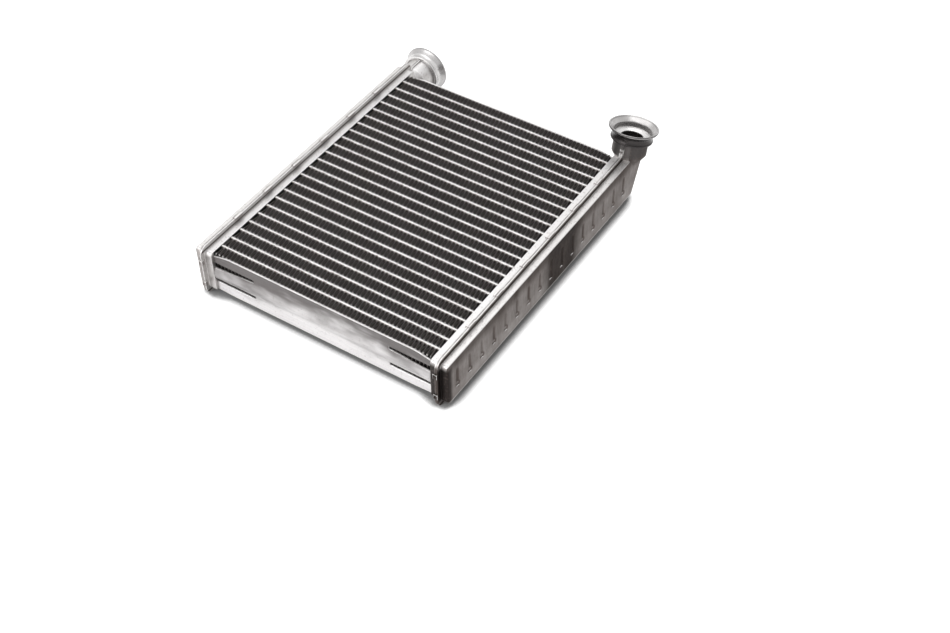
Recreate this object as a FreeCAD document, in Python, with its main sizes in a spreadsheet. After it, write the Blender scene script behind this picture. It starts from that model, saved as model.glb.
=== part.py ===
import FreeCAD, Part
import math
import os
import Sketcher
from FreeCAD import Placement, Rotation, Vector

# Brazed aluminium engine heater radiator, lying flat on the joints of its two tanks.
# X runs along the flat tubes, Y along the tanks towards the pipe necks, Z up.
# The origin is the bottom centre of the whole part.

driving_sizes = {
    # flat tubes
    "tube_count": 23,
    "tube_pitch": 7.5,
    "tube_span": 136.7,
    "core_depth": 26,
    "tube_thickness": 1.8,
    "tube_wall": 0.3,
    "nose_chamfer": 0.5,
    "tube_reach": 2.5,
    "braze_gap": 0.05,
    # corrugated fin strips
    "fin_folds": 13,
    "fin_sheet": 0.2,
    "fin_end_gap": 2,
    # side plates
    "plate_sheet": 1,
    "crown_width": 9.6,
    "crown_rise": 1.3,
    "slit_length": 25.8,
    "slit_height": 2.1,
    "band_taper_length": 8,
    "band_taper_drop": 2,
    # header trays and tank shells
    "tank_margin": 0.5,
    "tank_near_reach": 1.7,
    "tank_far_reach": 4,
    "right_end_lean": 25.2,
    "left_end_lean": 0,
    "tank_sheet": 0.9,
    "header_depth": 5.3,
    "shell_depth": 5.2,
    "corner_radius": 2.5,
    "header_edge_radius": 0.4,
    "shell_edge_radius": 0.9,
    "flange_proud": 2.9,
    # stiffening grooves in the shells
    "groove_count": 16,
    "groove_pitch": 11.1,
    "groove_length": 13.7,
    "groove_width": 3.1,
    "groove_floor": 1.5,
    "groove_sink": 0.55,
    # folded crimp tabs round the flange joint
    "tab_count": 6,
    "tab_spacing": 25.2,
    "tab_width": 6,
    "end_tab_offset": 7.4,
    "end_tab_width": 3,
    "tab_sheet": 0.6,
    "tab_hook": 1.4,
    # pipe necks, made in two halves with the header and the tank
    "neck_radius": 9.8,
    "neck_root_radius": 4.4,
    "neck_cone_length": 8,
    "neck_seam_proud": 1.2,
    "seam_gap": 0.3,
    "right_neck_tilt": 14.8,
    "right_neck_offset": 3.3,
    "right_neck_root": 6,
    "right_neck_length": 29.4,
    "left_neck_tilt": 90,
    "left_neck_offset": 0,
    "left_neck_root": 0.8,
    "left_neck_length": 24.6,
    # flared collars brazed over the necks
    "collar_rim_radius": 14,
    "collar_rim_sheet": 1.2,
    "collar_mouth_radius": 13.2,
    "collar_mouth_depth": 2.4,
    "socket_radius": 10.3,
    "socket_depth": 3,
    "throat_radius": 6.3,
    "ledge_sheet": 0.7,
    "ledge_drop": 0.5,
    "collar_wall": 1.1,
    "collar_skirt": 0.9,
    "collar_bead": 1.2,
    "collar_bead_proud": 0.5,
}

doc = FreeCAD.newDocument("HeaterRadiator")
sheet = doc.addObject("Spreadsheet::Sheet", "Sizes")
for row, (alias, value) in enumerate(driving_sizes.items(), 1):
    sheet.set("A%d" % row, alias)
    sheet.set("B%d" % row, str(value))
    sheet.setAlias("B%d" % row, alias)
doc.recompute()

# Lengths that several pieces share, as expressions on the sheet.
fin_height = "(Sizes.tube_pitch - Sizes.tube_thickness)"
plate_seat = "((Sizes.tube_count + 1) / 2 * Sizes.tube_pitch - Sizes.tube_thickness / 2)"
plate_face = "(%s + Sizes.plate_sheet)" % plate_seat
tank_height = "(Sizes.core_depth + 2 * Sizes.tank_margin)"
# the tanks are at least long enough for their rows of crimp tabs and grooves
tab_row_end = "(Sizes.tab_count - 1) / 2 * Sizes.tab_spacing + Sizes.tab_width / 2 + Sizes.corner_radius"
groove_row_end = "(Sizes.groove_count - 1) / 2 * Sizes.groove_pitch + Sizes.groove_width / 2"
rows_need = "%s; %s + Sizes.shell_edge_radius" % (tab_row_end, groove_row_end)
tank_near_end = "max(%s + Sizes.tank_near_reach; %s)" % (plate_face, rows_need)
tank_far_end = "max(%s + Sizes.tank_far_reach; %s)" % (plate_face, rows_need)
neck_base = "(%s - Sizes.tank_far_reach)" % tank_far_end
joint_reach = "(Sizes.tube_span / 2 + Sizes.header_depth)"
flange_near_end = "(%s + Sizes.flange_proud + Sizes.tab_sheet)" % tank_near_end
neck_end_drop = "(Sizes.collar_mouth_depth + Sizes.socket_depth + Sizes.ledge_drop + Sizes.ledge_sheet)"
collar_radius = "(Sizes.socket_radius + Sizes.collar_wall)"
skirt_bore = "(Sizes.neck_radius + Sizes.braze_gap)"


def neck_size(end_name, part):
    return "Sizes.%s_neck_%s" % (end_name, part)


def rim_reach(end_name):
    # how far past the core's centre the collar's rim reaches along the tank
    tilt = neck_size(end_name, "tilt")
    along = "%s + %s" % (neck_base, neck_size(end_name, "offset"))
    length = neck_size(end_name, "length")
    return "(%s + %s * sin(%s) + Sizes.collar_rim_radius * cos(%s))" % (along, length, tilt, tilt)


core_y = "((%s - max(%s; %s)) / 2)" % (flange_near_end, rim_reach("left"), rim_reach("right"))
core_z = "(%s / 2 + Sizes.flange_proud + Sizes.tab_sheet)" % tank_height

# Two coordinates closer than this lie in one plane.
flat = 0.001


def length_of(expression):
    return float(sheet.evalExpression(expression))


def new_body(label, across, along, up):
    body = doc.addObject("PartDesign::Body", label)
    body.Label = label
    body.setExpression("Placement.Base.x", across)
    body.setExpression("Placement.Base.y", along)
    body.setExpression("Placement.Base.z", up)
    return body


def origin_item(body, role):
    return next(item for item in body.Origin.OriginFeatures if item.Role == role)


def new_sketch(body, plane_role, name):
    sketch = body.newObject("Sketcher::SketchObject", name)
    sketch.AttachmentSupport = [(origin_item(body, plane_role), "")]
    sketch.MapMode = "FlatFace"
    return sketch


def new_feature(body, kind, name, profile, backwards=False):
    feature = body.newObject("PartDesign::" + kind, name)
    feature.Profile = profile
    feature.Reversed = backwards
    return feature


def repeat_along(body, name, feature, axis_role, count, spacing):
    row = body.newObject("PartDesign::LinearPattern", name)
    row.Originals = [feature]
    row.Direction = (origin_item(body, axis_role), [""])
    row.Mode = "Spacing"
    row.setExpression("Offset", spacing)
    row.setExpression("Occurrences", count)
    body.Tip = row
    return row


def mirror_over(body, name, feature, plane_role):
    twin = body.newObject("PartDesign::Mirrored", name)
    twin.Originals = [feature]
    twin.MirrorPlane = (origin_item(body, plane_role), [""])
    body.Tip = twin
    return twin


def round_off(body, name, feature, picked, radius):
    # rounds the edges of the feature that the test picks
    doc.recompute()
    names = ["Edge%d" % number for number, edge in enumerate(feature.Shape.Edges, 1) if picked(edge)]
    fillet = body.newObject("PartDesign::Fillet", name)
    fillet.Base = (feature, names)
    fillet.setExpression("Radius", radius)
    return fillet


def bind(sketch, constraint, expression):
    number = sketch.addConstraint(constraint)
    sketch.setExpression("Constraints[%d]" % number, expression)


def pin_point(sketch, edge, end, across, up):
    for kind, expression in (("DistanceX", across), ("DistanceY", up)):
        constraint = Sketcher.Constraint(kind, -1, 1, edge, end, length_of(expression))
        bind(sketch, constraint, expression)


def add_outline(sketch, corners, bows=()):
    # edges from corner to corner, straight or bowed about the centre given on the axis
    points = [Vector(length_of(across), length_of(up), 0) for across, up in corners]
    first = sketch.GeometryCount
    ends = []
    for number, point in enumerate(points):
        following = points[(number + 1) % len(points)]
        ends.append((1, 2))
        if number not in bows:
            sketch.addGeometry(Part.LineSegment(point, following), False)
            continue
        centre = Vector(length_of(bows[number]), 0, 0)
        arms = [point - centre, following - centre]
        angles = [math.atan2(arm.y, arm.x) % (2 * math.pi) for arm in arms]
        if angles[0] > angles[1]:
            ends[number] = (2, 1)
        circle = Part.Circle(centre, Vector(0, 0, 1), arms[0].Length)
        sketch.addGeometry(Part.ArcOfCircle(circle, min(angles), max(angles)), False)
    for number, (across, up) in enumerate(corners):
        following = (number + 1) % len(corners)
        joined = (first + number, ends[number][1], first + following, ends[following][0])
        sketch.addConstraint(Sketcher.Constraint("Coincident", *joined))
        pin_point(sketch, first + number, ends[number][0], across, up)
    for number, centre in dict(bows).items():
        constraint = Sketcher.Constraint("DistanceX", -1, 1, first + number, 3, length_of(centre))
        bind(sketch, constraint, centre)


def add_tube_section(sketch, growth):
    # the flat tube's section with chamfered noses, grown all round
    half_width = "(Sizes.tube_thickness / 2 + %s)" % growth
    half_height = "(Sizes.core_depth / 2 + %s)" % growth
    flat_end = "(%s - Sizes.nose_chamfer)" % half_height
    nose = "(%s - Sizes.nose_chamfer)" % half_width
    corners = [("-" + half_width, "-" + flat_end), ("-" + half_width, flat_end), ("-" + nose, half_height)]
    corners += [(nose, half_height), (half_width, flat_end), (half_width, "-" + flat_end)]
    add_outline(sketch, corners + [(nose, "-" + half_height), ("-" + nose, "-" + half_height)])


def make_tube(number):
    # a folded flat tube: narrowed noses above and below, one channel right through
    row_from_centre = "((Sizes.tube_count + 1) / 2 - %d)" % number
    reach = "(Sizes.tube_span / 2 + Sizes.tube_reach)"
    along = "%s + %s * Sizes.tube_pitch" % (core_y, row_from_centre)
    body = new_body("tube_%02d" % number, "-" + reach, along, core_z)
    section = new_sketch(body, "YZ_Plane", "TubeSection%02d" % number)
    add_tube_section(section, "0")
    add_tube_section(section, "-Sizes.tube_wall")
    tube = new_feature(body, "Pad", "TubeSheet%02d" % number, section)
    tube.setExpression("Length", "2 * " + reach)


def make_fin_strip(number):
    # one sheet folded to and fro between two tubes, its folds touching both
    half_length = "(Sizes.tube_span / 2 - Sizes.fin_end_gap)"
    leg_run = "(%s / Sizes.fin_folds)" % half_length
    upright_sheet = "(Sizes.fin_sheet * sqrt(%s ^ 2 + %s ^ 2) / %s)" % (leg_run, fin_height, leg_run)
    fold = "%s / 2" % fin_height
    inner_fold = "(%s - %s)" % (fold, upright_sheet)
    row_from_centre = "((Sizes.tube_count + 2) / 2 - %d)" % number
    along = "%s + %s * Sizes.tube_pitch" % (core_y, row_from_centre)
    body = new_body("fin_%02d" % number, "-" + half_length, along, core_z)
    section = new_sketch(body, "XY_Plane", "FinFold%02d" % number)
    crest = [(leg_run, inner_fold), ("2 * " + leg_run, "-" + fold), ("2 * " + leg_run, "-" + inner_fold)]
    add_outline(section, [("0", "-" + fold)] + crest + [(leg_run, fold), ("0", "-" + inner_fold)])
    fold_pad = new_feature(body, "Pad", "FinSheet%02d" % number, section)
    fold_pad.SideType = "Symmetric"
    fold_pad.setExpression("Length", "Sizes.core_depth")
    repeat_along(body, "FinFolds%02d" % number, fold_pad, "X_Axis", "Sizes.fin_folds", "2 * " + leg_run)


def make_side_plate(label, side):
    # a pressed plate: flat bands above and below a crowned middle, slit apart at both ends
    body = doc.addObject("PartDesign::Body", label)
    body.Label = label
    facing = 0 if side < 0 else 180
    body.Placement = Placement(Vector(0, 0, 0), Rotation(Vector(0, 0, 1), facing))
    body.setExpression("Placement.Base.y", "%s + %d * %s" % (core_y, side, plate_seat))
    body.setExpression("Placement.Base.z", core_z)
    section = new_sketch(body, "YZ_Plane", label + "_section")
    half_depth = "Sizes.core_depth / 2"
    half_crown = "Sizes.crown_width / 2"
    outer = "-Sizes.plate_sheet"
    # the crown's arcs have their centres this far behind the flat bands
    behind = "((%s) ^ 2 - Sizes.crown_rise ^ 2) / (2 * Sizes.crown_rise)" % half_crown
    corners = [("0", "-" + half_depth), ("0", "-" + half_crown)]
    corners += [("0", half_crown), ("0", half_depth)]
    corners += [(outer, half_depth), (outer, half_crown)]
    corners += [(outer, "-" + half_crown), (outer, "-" + half_depth)]
    add_outline(section, corners, {1: behind, 5: behind + " - Sizes.plate_sheet"})
    plate = new_feature(body, "Pad", label + "_sheet", section)
    plate.SideType = "Symmetric"
    plate.setExpression("Length", "Sizes.tube_span")
    cuts = new_sketch(body, "XZ_Plane", label + "_cuts")
    end = "Sizes.tube_span / 2"
    past_end = end + " + Sizes.plate_sheet"
    slit_start = end + " - Sizes.slit_length"
    slit_edges = [half_crown, half_crown + " + Sizes.slit_height"]
    taper_start = end + " - Sizes.band_taper_length"
    taper_edge = half_depth + " - Sizes.band_taper_drop"
    past_edge = half_depth + " + Sizes.plate_sheet"
    for sign in ("", "-"):
        near, far = ["%s(%s)" % (sign, edge) for edge in slit_edges]
        add_outline(cuts, [(slit_start, near), (past_end, near), (past_end, far), (slit_start, far)])
        flush, dropped, past = ["%s(%s)" % (sign, edge) for edge in (half_depth, taper_edge, past_edge)]
        taper = [(taper_start, flush), (end, dropped), (past_end, dropped)]
        add_outline(cuts, taper + [(past_end, past), (taper_start, past)])
    pocket = new_feature(body, "Pocket", label + "_slits", cuts)
    pocket.Type = "ThroughAll"
    pocket.SideType = "Symmetric"
    mirror_over(body, label + "_both_ends", pocket, "YZ_Plane")


def end_outline(end_name, growth):
    # the tank's outline seen along the tubes, grown all round; its far end may lean out to the neck
    lean = "Sizes.%s_end_lean" % end_name
    near = "-(%s + %s)" % (tank_near_end, growth)
    height = "(%s / 2 + %s)" % (tank_height, growth)
    low_far = "%s + (%s) * (1 / cos(%s) - tan(%s))" % (tank_far_end, growth, lean, lean)
    drift = "%s * tan(%s)" % (tank_height, lean)
    high_far = "%s + %s + (%s) * (1 / cos(%s) + tan(%s))" % (tank_far_end, drift, growth, lean, lean)
    return [(near, "-" + height), (low_far, "-" + height), (high_far, height), (near, height)]


def add_slab(body, end_name, name, growth, radius, depth, plus_x):
    # a slab of that outline on one side of the flange joint's plane, its four corners rounded
    corners = end_outline(end_name, growth)
    outline = new_sketch(body, "YZ_Plane", name + "Outline")
    add_outline(outline, corners)
    slab = new_feature(body, "Pad", name, outline, not plus_x)
    slab.setExpression("Length", depth)
    spots = [(length_of(along), length_of(up)) for along, up in corners]

    def at_corner(edge):
        ends = [(vertex.Y, vertex.Z) for vertex in edge.Vertexes]
        return any(all(math.dist(end, spot) < flat for end in ends) for spot in spots)

    return round_off(body, name + "Corners", slab, at_corner, radius)


def neck_sketch(body, end_name, name):
    # a sketch in the joint's plane whose upright axis is the neck's axis
    sketch = new_sketch(body, "YZ_Plane", name)
    sketch.AttachmentOffset = Placement(Vector(0, 0, 0), Rotation(Vector(0, 0, -1), 1))
    foot = "%s + %s" % (neck_base, neck_size(end_name, "offset"))
    sketch.setExpression("AttachmentOffset.Base.x", foot)
    sketch.setExpression("AttachmentOffset.Rotation.Angle", neck_size(end_name, "tilt"))
    return sketch


def add_neck(body, end_name, plus_x):
    # this half of the neck: a cone out of the tank, a round pipe and the joint's strips beside them
    root = neck_size(end_name, "root")
    pipe_start = "(%s + Sizes.neck_cone_length)" % root
    pipe_end = "(%s - %s)" % (neck_size(end_name, "length"), neck_end_drop)
    profile = neck_sketch(body, end_name, "NeckProfile")
    cone = [("0", root), ("Sizes.neck_root_radius", root), ("Sizes.neck_radius", pipe_start)]
    add_outline(profile, cone + [("Sizes.neck_radius", pipe_end), ("0", pipe_end)])
    half_neck = new_feature(body, "Revolution", "HalfNeck", profile, plus_x)
    half_neck.ReferenceAxis = (profile, ["V_Axis"])
    half_neck.Angle = 180
    strips = neck_sketch(body, end_name, "NeckStripsOutline")
    root_half = "(Sizes.neck_root_radius + Sizes.neck_seam_proud)"
    pipe_half = "(Sizes.neck_radius + Sizes.neck_seam_proud)"
    strip_end = "(%s - Sizes.collar_skirt - Sizes.seam_gap)" % pipe_end
    right = [(root_half, root), (pipe_half, pipe_start), (pipe_half, strip_end)]
    left = [("-" + pipe_half, strip_end), ("-" + pipe_half, pipe_start), ("-" + root_half, root)]
    add_outline(strips, right + left)
    strip = new_feature(body, "Pad", "NeckStrips", strips, not plus_x)
    strip.setExpression("Length", "Sizes.tank_sheet")
    bore_profile = neck_sketch(body, end_name, "NeckBoreProfile")
    bore_root = "(Sizes.neck_root_radius - Sizes.tank_sheet)"
    bore_radius = "(Sizes.neck_radius - Sizes.tank_sheet)"
    past_end = pipe_end + " + Sizes.tank_sheet"
    cone = [("0", root), (bore_root, root), (bore_radius, pipe_start)]
    add_outline(bore_profile, cone + [(bore_radius, past_end), ("0", past_end)])
    bore = new_feature(body, "Groove", "NeckBore", bore_profile)
    bore.ReferenceAxis = (bore_profile, ["V_Axis"])


def add_hollow(body, end_name, depth, plus_x):
    outline = new_sketch(body, "YZ_Plane", "HollowOutline")
    add_outline(outline, end_outline(end_name, "-Sizes.tank_sheet"))
    hollow = new_feature(body, "Pocket", "Hollow", outline, plus_x)
    hollow.setExpression("Length", depth + " - Sizes.tank_sheet")


def round_rim(body, name, feature, across, radius):
    # rounds the slab's edge all round at this distance from the joint
    distance = length_of(across)

    def on_rim(edge):
        box = edge.BoundBox
        return abs(box.XMin - distance) < flat and abs(box.XMax - distance) < flat

    return round_off(body, name, feature, on_rim, radius)


def make_header(end_name, side):
    # a pressed tray that takes the tube ends, with a flange and its half of the neck
    body = new_body(end_name + "_header", "%d * %s" % (side, joint_reach), core_y, core_z)
    plus_x = side < 0
    tray = add_slab(body, end_name, "Tray", "0", "Sizes.corner_radius", "Sizes.header_depth", plus_x)
    round_rim(body, "TrayRim", tray, "%d * Sizes.header_depth" % -side, "Sizes.header_edge_radius")
    flange_radius = "Sizes.corner_radius + Sizes.flange_proud"
    add_slab(body, end_name, "Flange", "Sizes.flange_proud", flange_radius, "Sizes.tank_sheet", plus_x)
    add_neck(body, end_name, plus_x)
    add_hollow(body, end_name, "Sizes.header_depth", plus_x)
    slot = new_sketch(body, "YZ_Plane", "TubeSlot")
    slot.setExpression("AttachmentOffset.Base.x", "-(Sizes.tube_count - 1) / 2 * Sizes.tube_pitch")
    tube_end = "(Sizes.header_depth - Sizes.tube_reach - Sizes.braze_gap)"
    slot.setExpression("AttachmentOffset.Base.z", "%d * %s" % (-side, tube_end))
    add_tube_section(slot, "Sizes.braze_gap")
    cut = new_feature(body, "Pocket", "TubeSlotCut", slot, plus_x)
    cut.Type = "ThroughAll"
    repeat_along(body, "TubeSlots", cut, "Y_Axis", "Sizes.tube_count", "Sizes.tube_pitch")


def tab_profile(side, edge, facing):
    root = "%d * Sizes.tank_sheet" % side
    lap = "%d * Sizes.tank_sheet" % -side
    fold = "%d * (Sizes.tank_sheet + Sizes.tab_sheet)" % -side
    level = "%d * %s" % (facing, edge)
    top = "%d * (%s + Sizes.tab_sheet)" % (facing, edge)
    hook = "%d * (%s - Sizes.tab_hook)" % (facing, edge)
    return [(root, level), (root, top), (fold, top), (fold, hook), (lap, hook), (lap, level)]


def add_crimp_tabs(body, side):
    # tabs of the shell's flange folded over the edge onto the header's flange
    edge = "(%s / 2 + Sizes.flange_proud)" % tank_height
    rows = new_sketch(body, "XZ_Plane", "TabProfiles")
    rows.setExpression("AttachmentOffset.Base.z", "(Sizes.tab_count - 1) / 2 * Sizes.tab_spacing")
    add_outline(rows, tab_profile(side, edge, 1))
    add_outline(rows, tab_profile(side, edge, -1))
    tabs = new_feature(body, "Pad", "TabPair", rows)
    tabs.SideType = "Symmetric"
    tabs.setExpression("Length", "Sizes.tab_width")
    repeat_along(body, "TabRow", tabs, "Y_Axis", "Sizes.tab_count", "Sizes.tab_spacing")
    near = new_sketch(body, "XY_Plane", "EndTabProfile")
    near.setExpression("AttachmentOffset.Base.z", "Sizes.end_tab_offset")
    add_outline(near, tab_profile(side, "(%s + Sizes.flange_proud)" % tank_near_end, -1))
    end_tab = new_feature(body, "Pad", "EndTab", near)
    end_tab.SideType = "Symmetric"
    end_tab.setExpression("Length", "Sizes.end_tab_width")
    mirror_over(body, "EndTabs", end_tab, "XY_Plane")


def make_tank(end_name, side):
    # a pressed shell closing the tray: flange, grooved outer face, half of the neck and crimp tabs
    body = new_body(end_name + "_tank", "%d * %s" % (side, joint_reach), core_y, core_z)
    plus_x = side > 0
    shell = add_slab(body, end_name, "Shell", "0", "Sizes.corner_radius", "Sizes.shell_depth", plus_x)
    round_rim(body, "ShellRim", shell, "%d * Sizes.shell_depth" % side, "Sizes.shell_edge_radius")
    flange_radius = "Sizes.corner_radius + Sizes.flange_proud"
    add_slab(body, end_name, "Flange", "Sizes.flange_proud", flange_radius, "Sizes.tank_sheet", plus_x)
    add_neck(body, end_name, plus_x)
    add_hollow(body, end_name, "Sizes.shell_depth", plus_x)
    groove = new_sketch(body, "XY_Plane", "GrooveSection")
    groove.setExpression("AttachmentOffset.Base.y", "-(Sizes.groove_count - 1) / 2 * Sizes.groove_pitch")
    face = "%d * Sizes.shell_depth" % side
    floor = "%d * (Sizes.shell_depth - Sizes.groove_sink)" % side
    slope = [(face, "-Sizes.groove_width / 2"), (floor, "-Sizes.groove_floor / 2")]
    add_outline(groove, slope + [(floor, "Sizes.groove_floor / 2"), (face, "Sizes.groove_width / 2")])
    cut = new_feature(body, "Pocket", "GrooveCut", groove)
    cut.SideType = "Symmetric"
    cut.setExpression("Length", "Sizes.groove_length")
    repeat_along(body, "Grooves", cut, "Y_Axis", "Sizes.groove_count", "Sizes.groove_pitch")
    add_crimp_tabs(body, side)


def make_collar(end_name, side):
    # a turned collar: flared mouth, socket for the pipe, ledge, throat and skirt over the neck
    label = end_name + "_collar"
    tilt = neck_size(end_name, "tilt")
    length = neck_size(end_name, "length")
    body = doc.addObject("PartDesign::Body", label)
    body.Label = label
    body.Placement = Placement(Vector(0, 0, 0), Rotation(Vector(-1, 0, 0), 1))
    foot = "%s + %s + %s" % (core_y, neck_base, neck_size(end_name, "offset"))
    body.setExpression("Placement.Base.x", "%d * %s" % (side, joint_reach))
    body.setExpression("Placement.Base.y", "%s + %s * sin(%s)" % (foot, length, tilt))
    body.setExpression("Placement.Base.z", "%s + %s * cos(%s)" % (core_z, length, tilt))
    body.setExpression("Placement.Rotation.Angle", tilt)
    profile = new_sketch(body, "XZ_Plane", label + "_profile")
    mouth_end = "Sizes.collar_mouth_depth"
    socket_end = "(%s + Sizes.socket_depth)" % mouth_end
    ledge_end = "(%s + Sizes.ledge_drop)" % socket_end
    flare_end = "(%s + Sizes.collar_rim_sheet)" % mouth_end
    skirt_end = "(%s + Sizes.collar_skirt)" % neck_end_drop
    bead_start = "(%s - Sizes.collar_bead)" % skirt_end
    bead_radius = "(%s + Sizes.collar_bead_proud)" % collar_radius
    outside = [("Sizes.collar_mouth_radius", "0"), ("Sizes.collar_rim_radius", "0")]
    outside += [("Sizes.collar_rim_radius", "-Sizes.collar_rim_sheet"), (collar_radius, "-" + flare_end)]
    outside += [(collar_radius, "-" + bead_start), (bead_radius, "-" + bead_start)]
    outside += [(bead_radius, "-" + skirt_end)]
    inside = [(skirt_bore, "-" + skirt_end), (skirt_bore, "-" + neck_end_drop)]
    inside += [("Sizes.throat_radius", "-" + neck_end_drop), ("Sizes.throat_radius", "-" + ledge_end)]
    inside += [("Sizes.socket_radius", "-" + socket_end), ("Sizes.socket_radius", "-" + mouth_end)]
    add_outline(profile, outside + inside)
    turned = new_feature(body, "Revolution", label + "_turned", profile)
    turned.ReferenceAxis = (profile, ["V_Axis"])


for tube_number in range(1, int(sheet.get("tube_count")) + 1):
    make_tube(tube_number)
for strip_number in range(1, int(sheet.get("tube_count")) + 2):
    make_fin_strip(strip_number)
for plate_label, plate_side in (("near_side_plate", -1), ("far_side_plate", 1)):
    make_side_plate(plate_label, plate_side)
for tank_end, tank_side in (("left", -1), ("right", 1)):
    make_header(tank_end, tank_side)
    make_tank(tank_end, tank_side)
    make_collar(tank_end, tank_side)
doc.recompute()

failed = [item.Label for item in doc.Objects if "Invalid" in item.State or "Error" in item.State]
if failed:
    raise RuntimeError("not built: " + ", ".join(failed))
pieces = [item for item in doc.Objects if item.TypeId == "PartDesign::Body"]
for piece in pieces:
    if piece.Shape.isNull() or not piece.Shape.isValid():
        raise RuntimeError("not a valid solid: " + piece.Label)

os.makedirs("parts", exist_ok=True)
for piece in pieces:
    piece.Shape.exportStep("parts/%s.step" % piece.Label)
print("%d pieces written" % len(pieces))
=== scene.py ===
import math

import bmesh
import bpy
from mathutils import Matrix, Vector


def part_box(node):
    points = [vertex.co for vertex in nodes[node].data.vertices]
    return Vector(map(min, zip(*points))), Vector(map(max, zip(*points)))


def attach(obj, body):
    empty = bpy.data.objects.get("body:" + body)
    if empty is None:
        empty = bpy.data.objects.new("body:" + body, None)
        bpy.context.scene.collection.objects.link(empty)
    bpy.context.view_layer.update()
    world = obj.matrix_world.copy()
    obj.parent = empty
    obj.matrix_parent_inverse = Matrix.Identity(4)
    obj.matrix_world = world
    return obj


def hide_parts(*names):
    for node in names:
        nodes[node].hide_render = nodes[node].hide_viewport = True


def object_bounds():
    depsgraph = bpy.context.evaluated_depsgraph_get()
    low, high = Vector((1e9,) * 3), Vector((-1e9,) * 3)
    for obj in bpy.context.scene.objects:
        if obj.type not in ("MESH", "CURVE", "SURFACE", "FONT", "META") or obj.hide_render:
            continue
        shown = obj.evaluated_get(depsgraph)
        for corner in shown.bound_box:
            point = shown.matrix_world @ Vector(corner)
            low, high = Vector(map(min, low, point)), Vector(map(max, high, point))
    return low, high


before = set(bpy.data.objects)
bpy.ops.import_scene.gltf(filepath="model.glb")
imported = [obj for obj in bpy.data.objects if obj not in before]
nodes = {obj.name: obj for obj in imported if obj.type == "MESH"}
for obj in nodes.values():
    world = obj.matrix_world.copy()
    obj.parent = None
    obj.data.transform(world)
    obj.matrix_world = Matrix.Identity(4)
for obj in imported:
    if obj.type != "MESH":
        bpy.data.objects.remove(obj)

mm = 0.001
cadLow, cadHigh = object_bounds()


def boxOf(node):
    low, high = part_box(node)
    return low, high, (low + high) / 2


def namesFrom(start):
    return sorted(name for name in nodes if name.startswith(start))


# places on the two tanks, in mm, that both their pieces and their marks follow
tankPlaces = {
    "joint": 73.65,                # across, where tray and shell meet
    "outerFace": 78.2,             # across, where the grooves are pressed in
    "faceFade": 0.3,               # how far short of it the marks of the face start
    "low": 3.5, "high": 30.5,      # heights of the shell's bottom and top
    "flangeEnd": -104.5,           # along, the near face of the flange under its tabs
    "tabFade": (0.05, -0.1),       # where the tabs' own ends start, from there
    "neckStart": (74.0, 79.0),     # along, where the right neck rises
}

# each collar: the centre of its rim in mm, and the way it opens
collarPlaces = {
    "left": {"rim": (-73.65, 105.0, 17.0), "axis": (0.0, 1.0, 0.0)},
    "right": {"rim": (73.65, 91.21, 45.42), "axis": (0.0, 0.25545, 0.96682)},
}

# the row of tubes along the core, in mm
tubeNames = namesFrom("tube")
farTube, nearTube = (boxOf(tubeNames[index])[2].y / mm for index in (0, -1))
tubeMiddle = (farTube + nearTube) / 2
tubePitch = (farTube - nearTube) / (len(tubeNames) - 1)


def colour(red, green, blue):
    return (red, green, blue, 1.0)


# a socket is linked from another node, or set to a fixed value
def feed(tree, socket, value):
    if isinstance(value, bpy.types.NodeSocket):
        tree.links.new(value, socket)
    else:
        socket.default_value = value


def groupNode(tree, group, inputs):
    node = tree.nodes.new("ShaderNodeGroup")
    node.node_tree = group
    for name, value in inputs.items():
        feed(tree, node.inputs[name], value)
    return node


def newGroup(name, inputs, outputs):
    group = bpy.data.node_groups.new(name, "ShaderNodeTree")
    for socketName, kind in inputs.items():
        group.interface.new_socket(name=socketName, in_out="INPUT", socket_type="NodeSocket" + kind)
    for socketName in outputs:
        group.interface.new_socket(name=socketName, in_out="OUTPUT", socket_type="NodeSocketFloat")
    start = group.nodes.new("NodeGroupInput")
    end = group.nodes.new("NodeGroupOutput")
    return group, start, end


def mathNode(tree, operation, *values):
    node = tree.nodes.new("ShaderNodeMath")
    node.operation = operation
    for socket, value in zip(node.inputs, values):
        feed(tree, socket, value)
    return node.outputs[0]


def product(tree, first, *others):
    for other in others:
        first = mathNode(tree, "MULTIPLY", first, other)
    return first


def total(tree, first, *others):
    for other in others:
        first = mathNode(tree, "ADD", first, other)
    return first


def difference(tree, first, second):
    return mathNode(tree, "SUBTRACT", first, second)


def distanceFrom(tree, value, spot):
    return mathNode(tree, "ABSOLUTE", difference(tree, value, spot))


def vectorNode(tree, operation, first, second):
    node = tree.nodes.new("ShaderNodeVectorMath")
    node.operation = operation
    feed(tree, node.inputs[0], first)
    feed(tree, node.inputs[1], second)
    return node


def dotOf(tree, first, second):
    return vectorNode(tree, "DOT_PRODUCT", first, second).outputs["Value"]


def noiseNode(tree, vector, scale, detail, roughness):
    node = tree.nodes.new("ShaderNodeTexNoise")
    for name, value in (("Vector", vector), ("Scale", scale), ("Detail", detail), ("Roughness", roughness)):
        feed(tree, node.inputs[name], value)
    return node.outputs["Fac"]


def stretchedNoise(tree, place, stretch, detail, roughness):
    stretched = vectorNode(tree, "MULTIPLY", place, stretch).outputs["Vector"]
    return noiseNode(tree, stretched, 1.0, detail, roughness)


def rangeNode(tree, value, low, high, outLow, outHigh):
    node = tree.nodes.new("ShaderNodeMapRange")
    for name, number in (("From Min", low), ("From Max", high), ("To Min", outLow), ("To Max", outHigh)):
        node.inputs[name].default_value = number
    tree.links.new(value, node.inputs["Value"])
    return node.outputs["Result"]


def mixColour(tree, factor, first, second):
    node = tree.nodes.new("ShaderNodeMix")
    node.data_type = "RGBA"
    for socket, value in ((node.inputs["Factor"], factor), (node.inputs[6], first), (node.inputs[7], second)):
        feed(tree, socket, value)
    return node.outputs[2]     # the colour sockets of this node are 6, 7 and 2


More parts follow.
